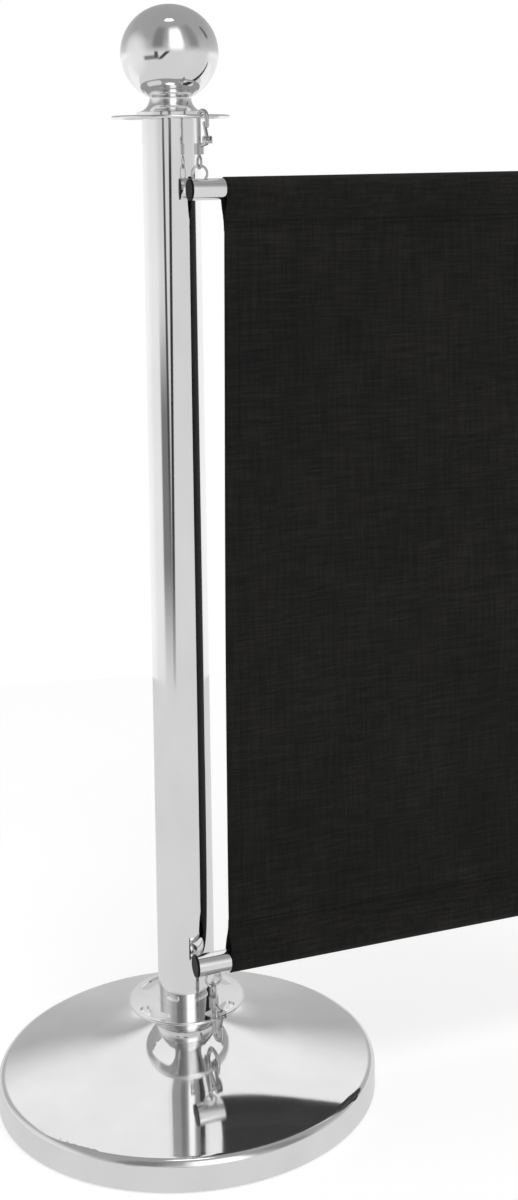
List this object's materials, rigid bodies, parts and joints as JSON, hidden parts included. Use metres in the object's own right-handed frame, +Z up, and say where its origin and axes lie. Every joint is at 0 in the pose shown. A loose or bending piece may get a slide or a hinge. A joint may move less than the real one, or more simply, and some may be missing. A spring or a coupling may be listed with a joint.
{
  "type": "crowd barrier post with hanging banner",
  "caption": "Polished barrier post with ball finial, slotted rings and weighted round base, carrying a black canvas banner on clipped rails.",
  "frame": {"origin": "centre of the round base's underside, on the floor", "axes": "+Z up the post, +X along the banner rails away from the post, the banner hangs on the -Y side of the post's axis"},
  "size_m": [0.668, 0.34, 0.977],
  "materials": {
    "polished_steel": "mirror polished",
    "polished_tube": "mirror polished",
    "polished_rail": "mirror polished",
    "polished_casting": "mirror polished",
    "plated_wire": "bright plated",
    "plated_zinc": "bright plated",
    "plain_steel": "plain turned",
    "cast_iron": "painted casting",
    "floor_rubber": "matte",
    "black_plastic": "moulded",
    "black_canvas": "plain weave canvas"
  },
  "bodies": {
    "stand": {"base_cover": "polished_steel", "base_weight": "cast_iron", "base_floor_pad": "floor_rubber", "base_washer": "plain_steel", "base_bolt": "plain_steel", "post_tube": "polished_tube", "post_bottom_plug": "plain_steel", "post_top_plug": "plain_steel", "lower_ring": "polished_casting", "upper_ring": "polished_casting", "finial_stud": "plain_steel"},
    "finial": {"finial_ball": "polished_steel", "finial_insert": "plain_steel"},
    "upper_hook": {"upper_hook_body": "plated_zinc", "upper_gate_pin": "plain_steel", "upper_gate_spring": "plain_steel"},
    "upper_gate": {"upper_gate": "plated_zinc"},
    "lower_hook": {"lower_hook_body": "plated_zinc", "lower_gate_pin": "plain_steel", "lower_gate_spring": "plain_steel"},
    "lower_gate": {"lower_gate": "plated_zinc"},
    "banner": {"banner_cloth": "black_canvas", "upper_rail": "polished_rail", "lower_rail": "polished_rail", "rail_end_plugs": "black_plastic", "near_rail_links": "plated_wire", "far_rail_links": "plated_wire", "upper_swivel_eye": "plated_zinc", "lower_swivel_eye": "plated_zinc"}
  },
  "joints": [
    {"name": "finial_turn", "type": "hinge", "parent": "stand", "child": "finial", "pos_m": [0, 0, 0.895], "axis": [0, 0, 1], "continuous": true},
    {"name": "upper_hook_slide", "type": "hinge", "parent": "stand", "child": "upper_hook", "pos_m": [0, 0, 0.878], "axis": [0, 0, 1], "range_deg": [-4, 30]},
    {"name": "lower_hook_slide", "type": "hinge", "parent": "stand", "child": "lower_hook", "pos_m": [0, 0, 0.081], "axis": [0, 0, 1], "range_deg": [-4, 30]},
    {"name": "banner_swing", "type": "hinge", "parent": "upper_hook", "child": "banner", "pos_m": [0.012, -0.04233, 0.84508], "axis": [0, 0, 1], "range_deg": [-25, 45]},
    {"name": "upper_gate_press", "type": "hinge", "parent": "upper_hook", "child": "upper_gate", "pos_m": [0.01544, -0.05445, 0.85858], "axis": [-0.9621, -0.2727, 0], "range_deg": [0, 18], "stiffness_Nm_per_rad": 0.01, "springref_deg": -11.46},
    {"name": "lower_gate_press", "type": "hinge", "parent": "lower_hook", "child": "lower_gate", "pos_m": [0.01544, -0.05445, 0.0852], "axis": [0.9621, 0.2727, 0], "range_deg": [0, 14], "stiffness_Nm_per_rad": 0.01, "springref_deg": -11.46}
  ],
  "couplings": [
    {"joint": "lower_hook_slide", "follows": "upper_hook_slide", "ratio": 1}
  ]
}
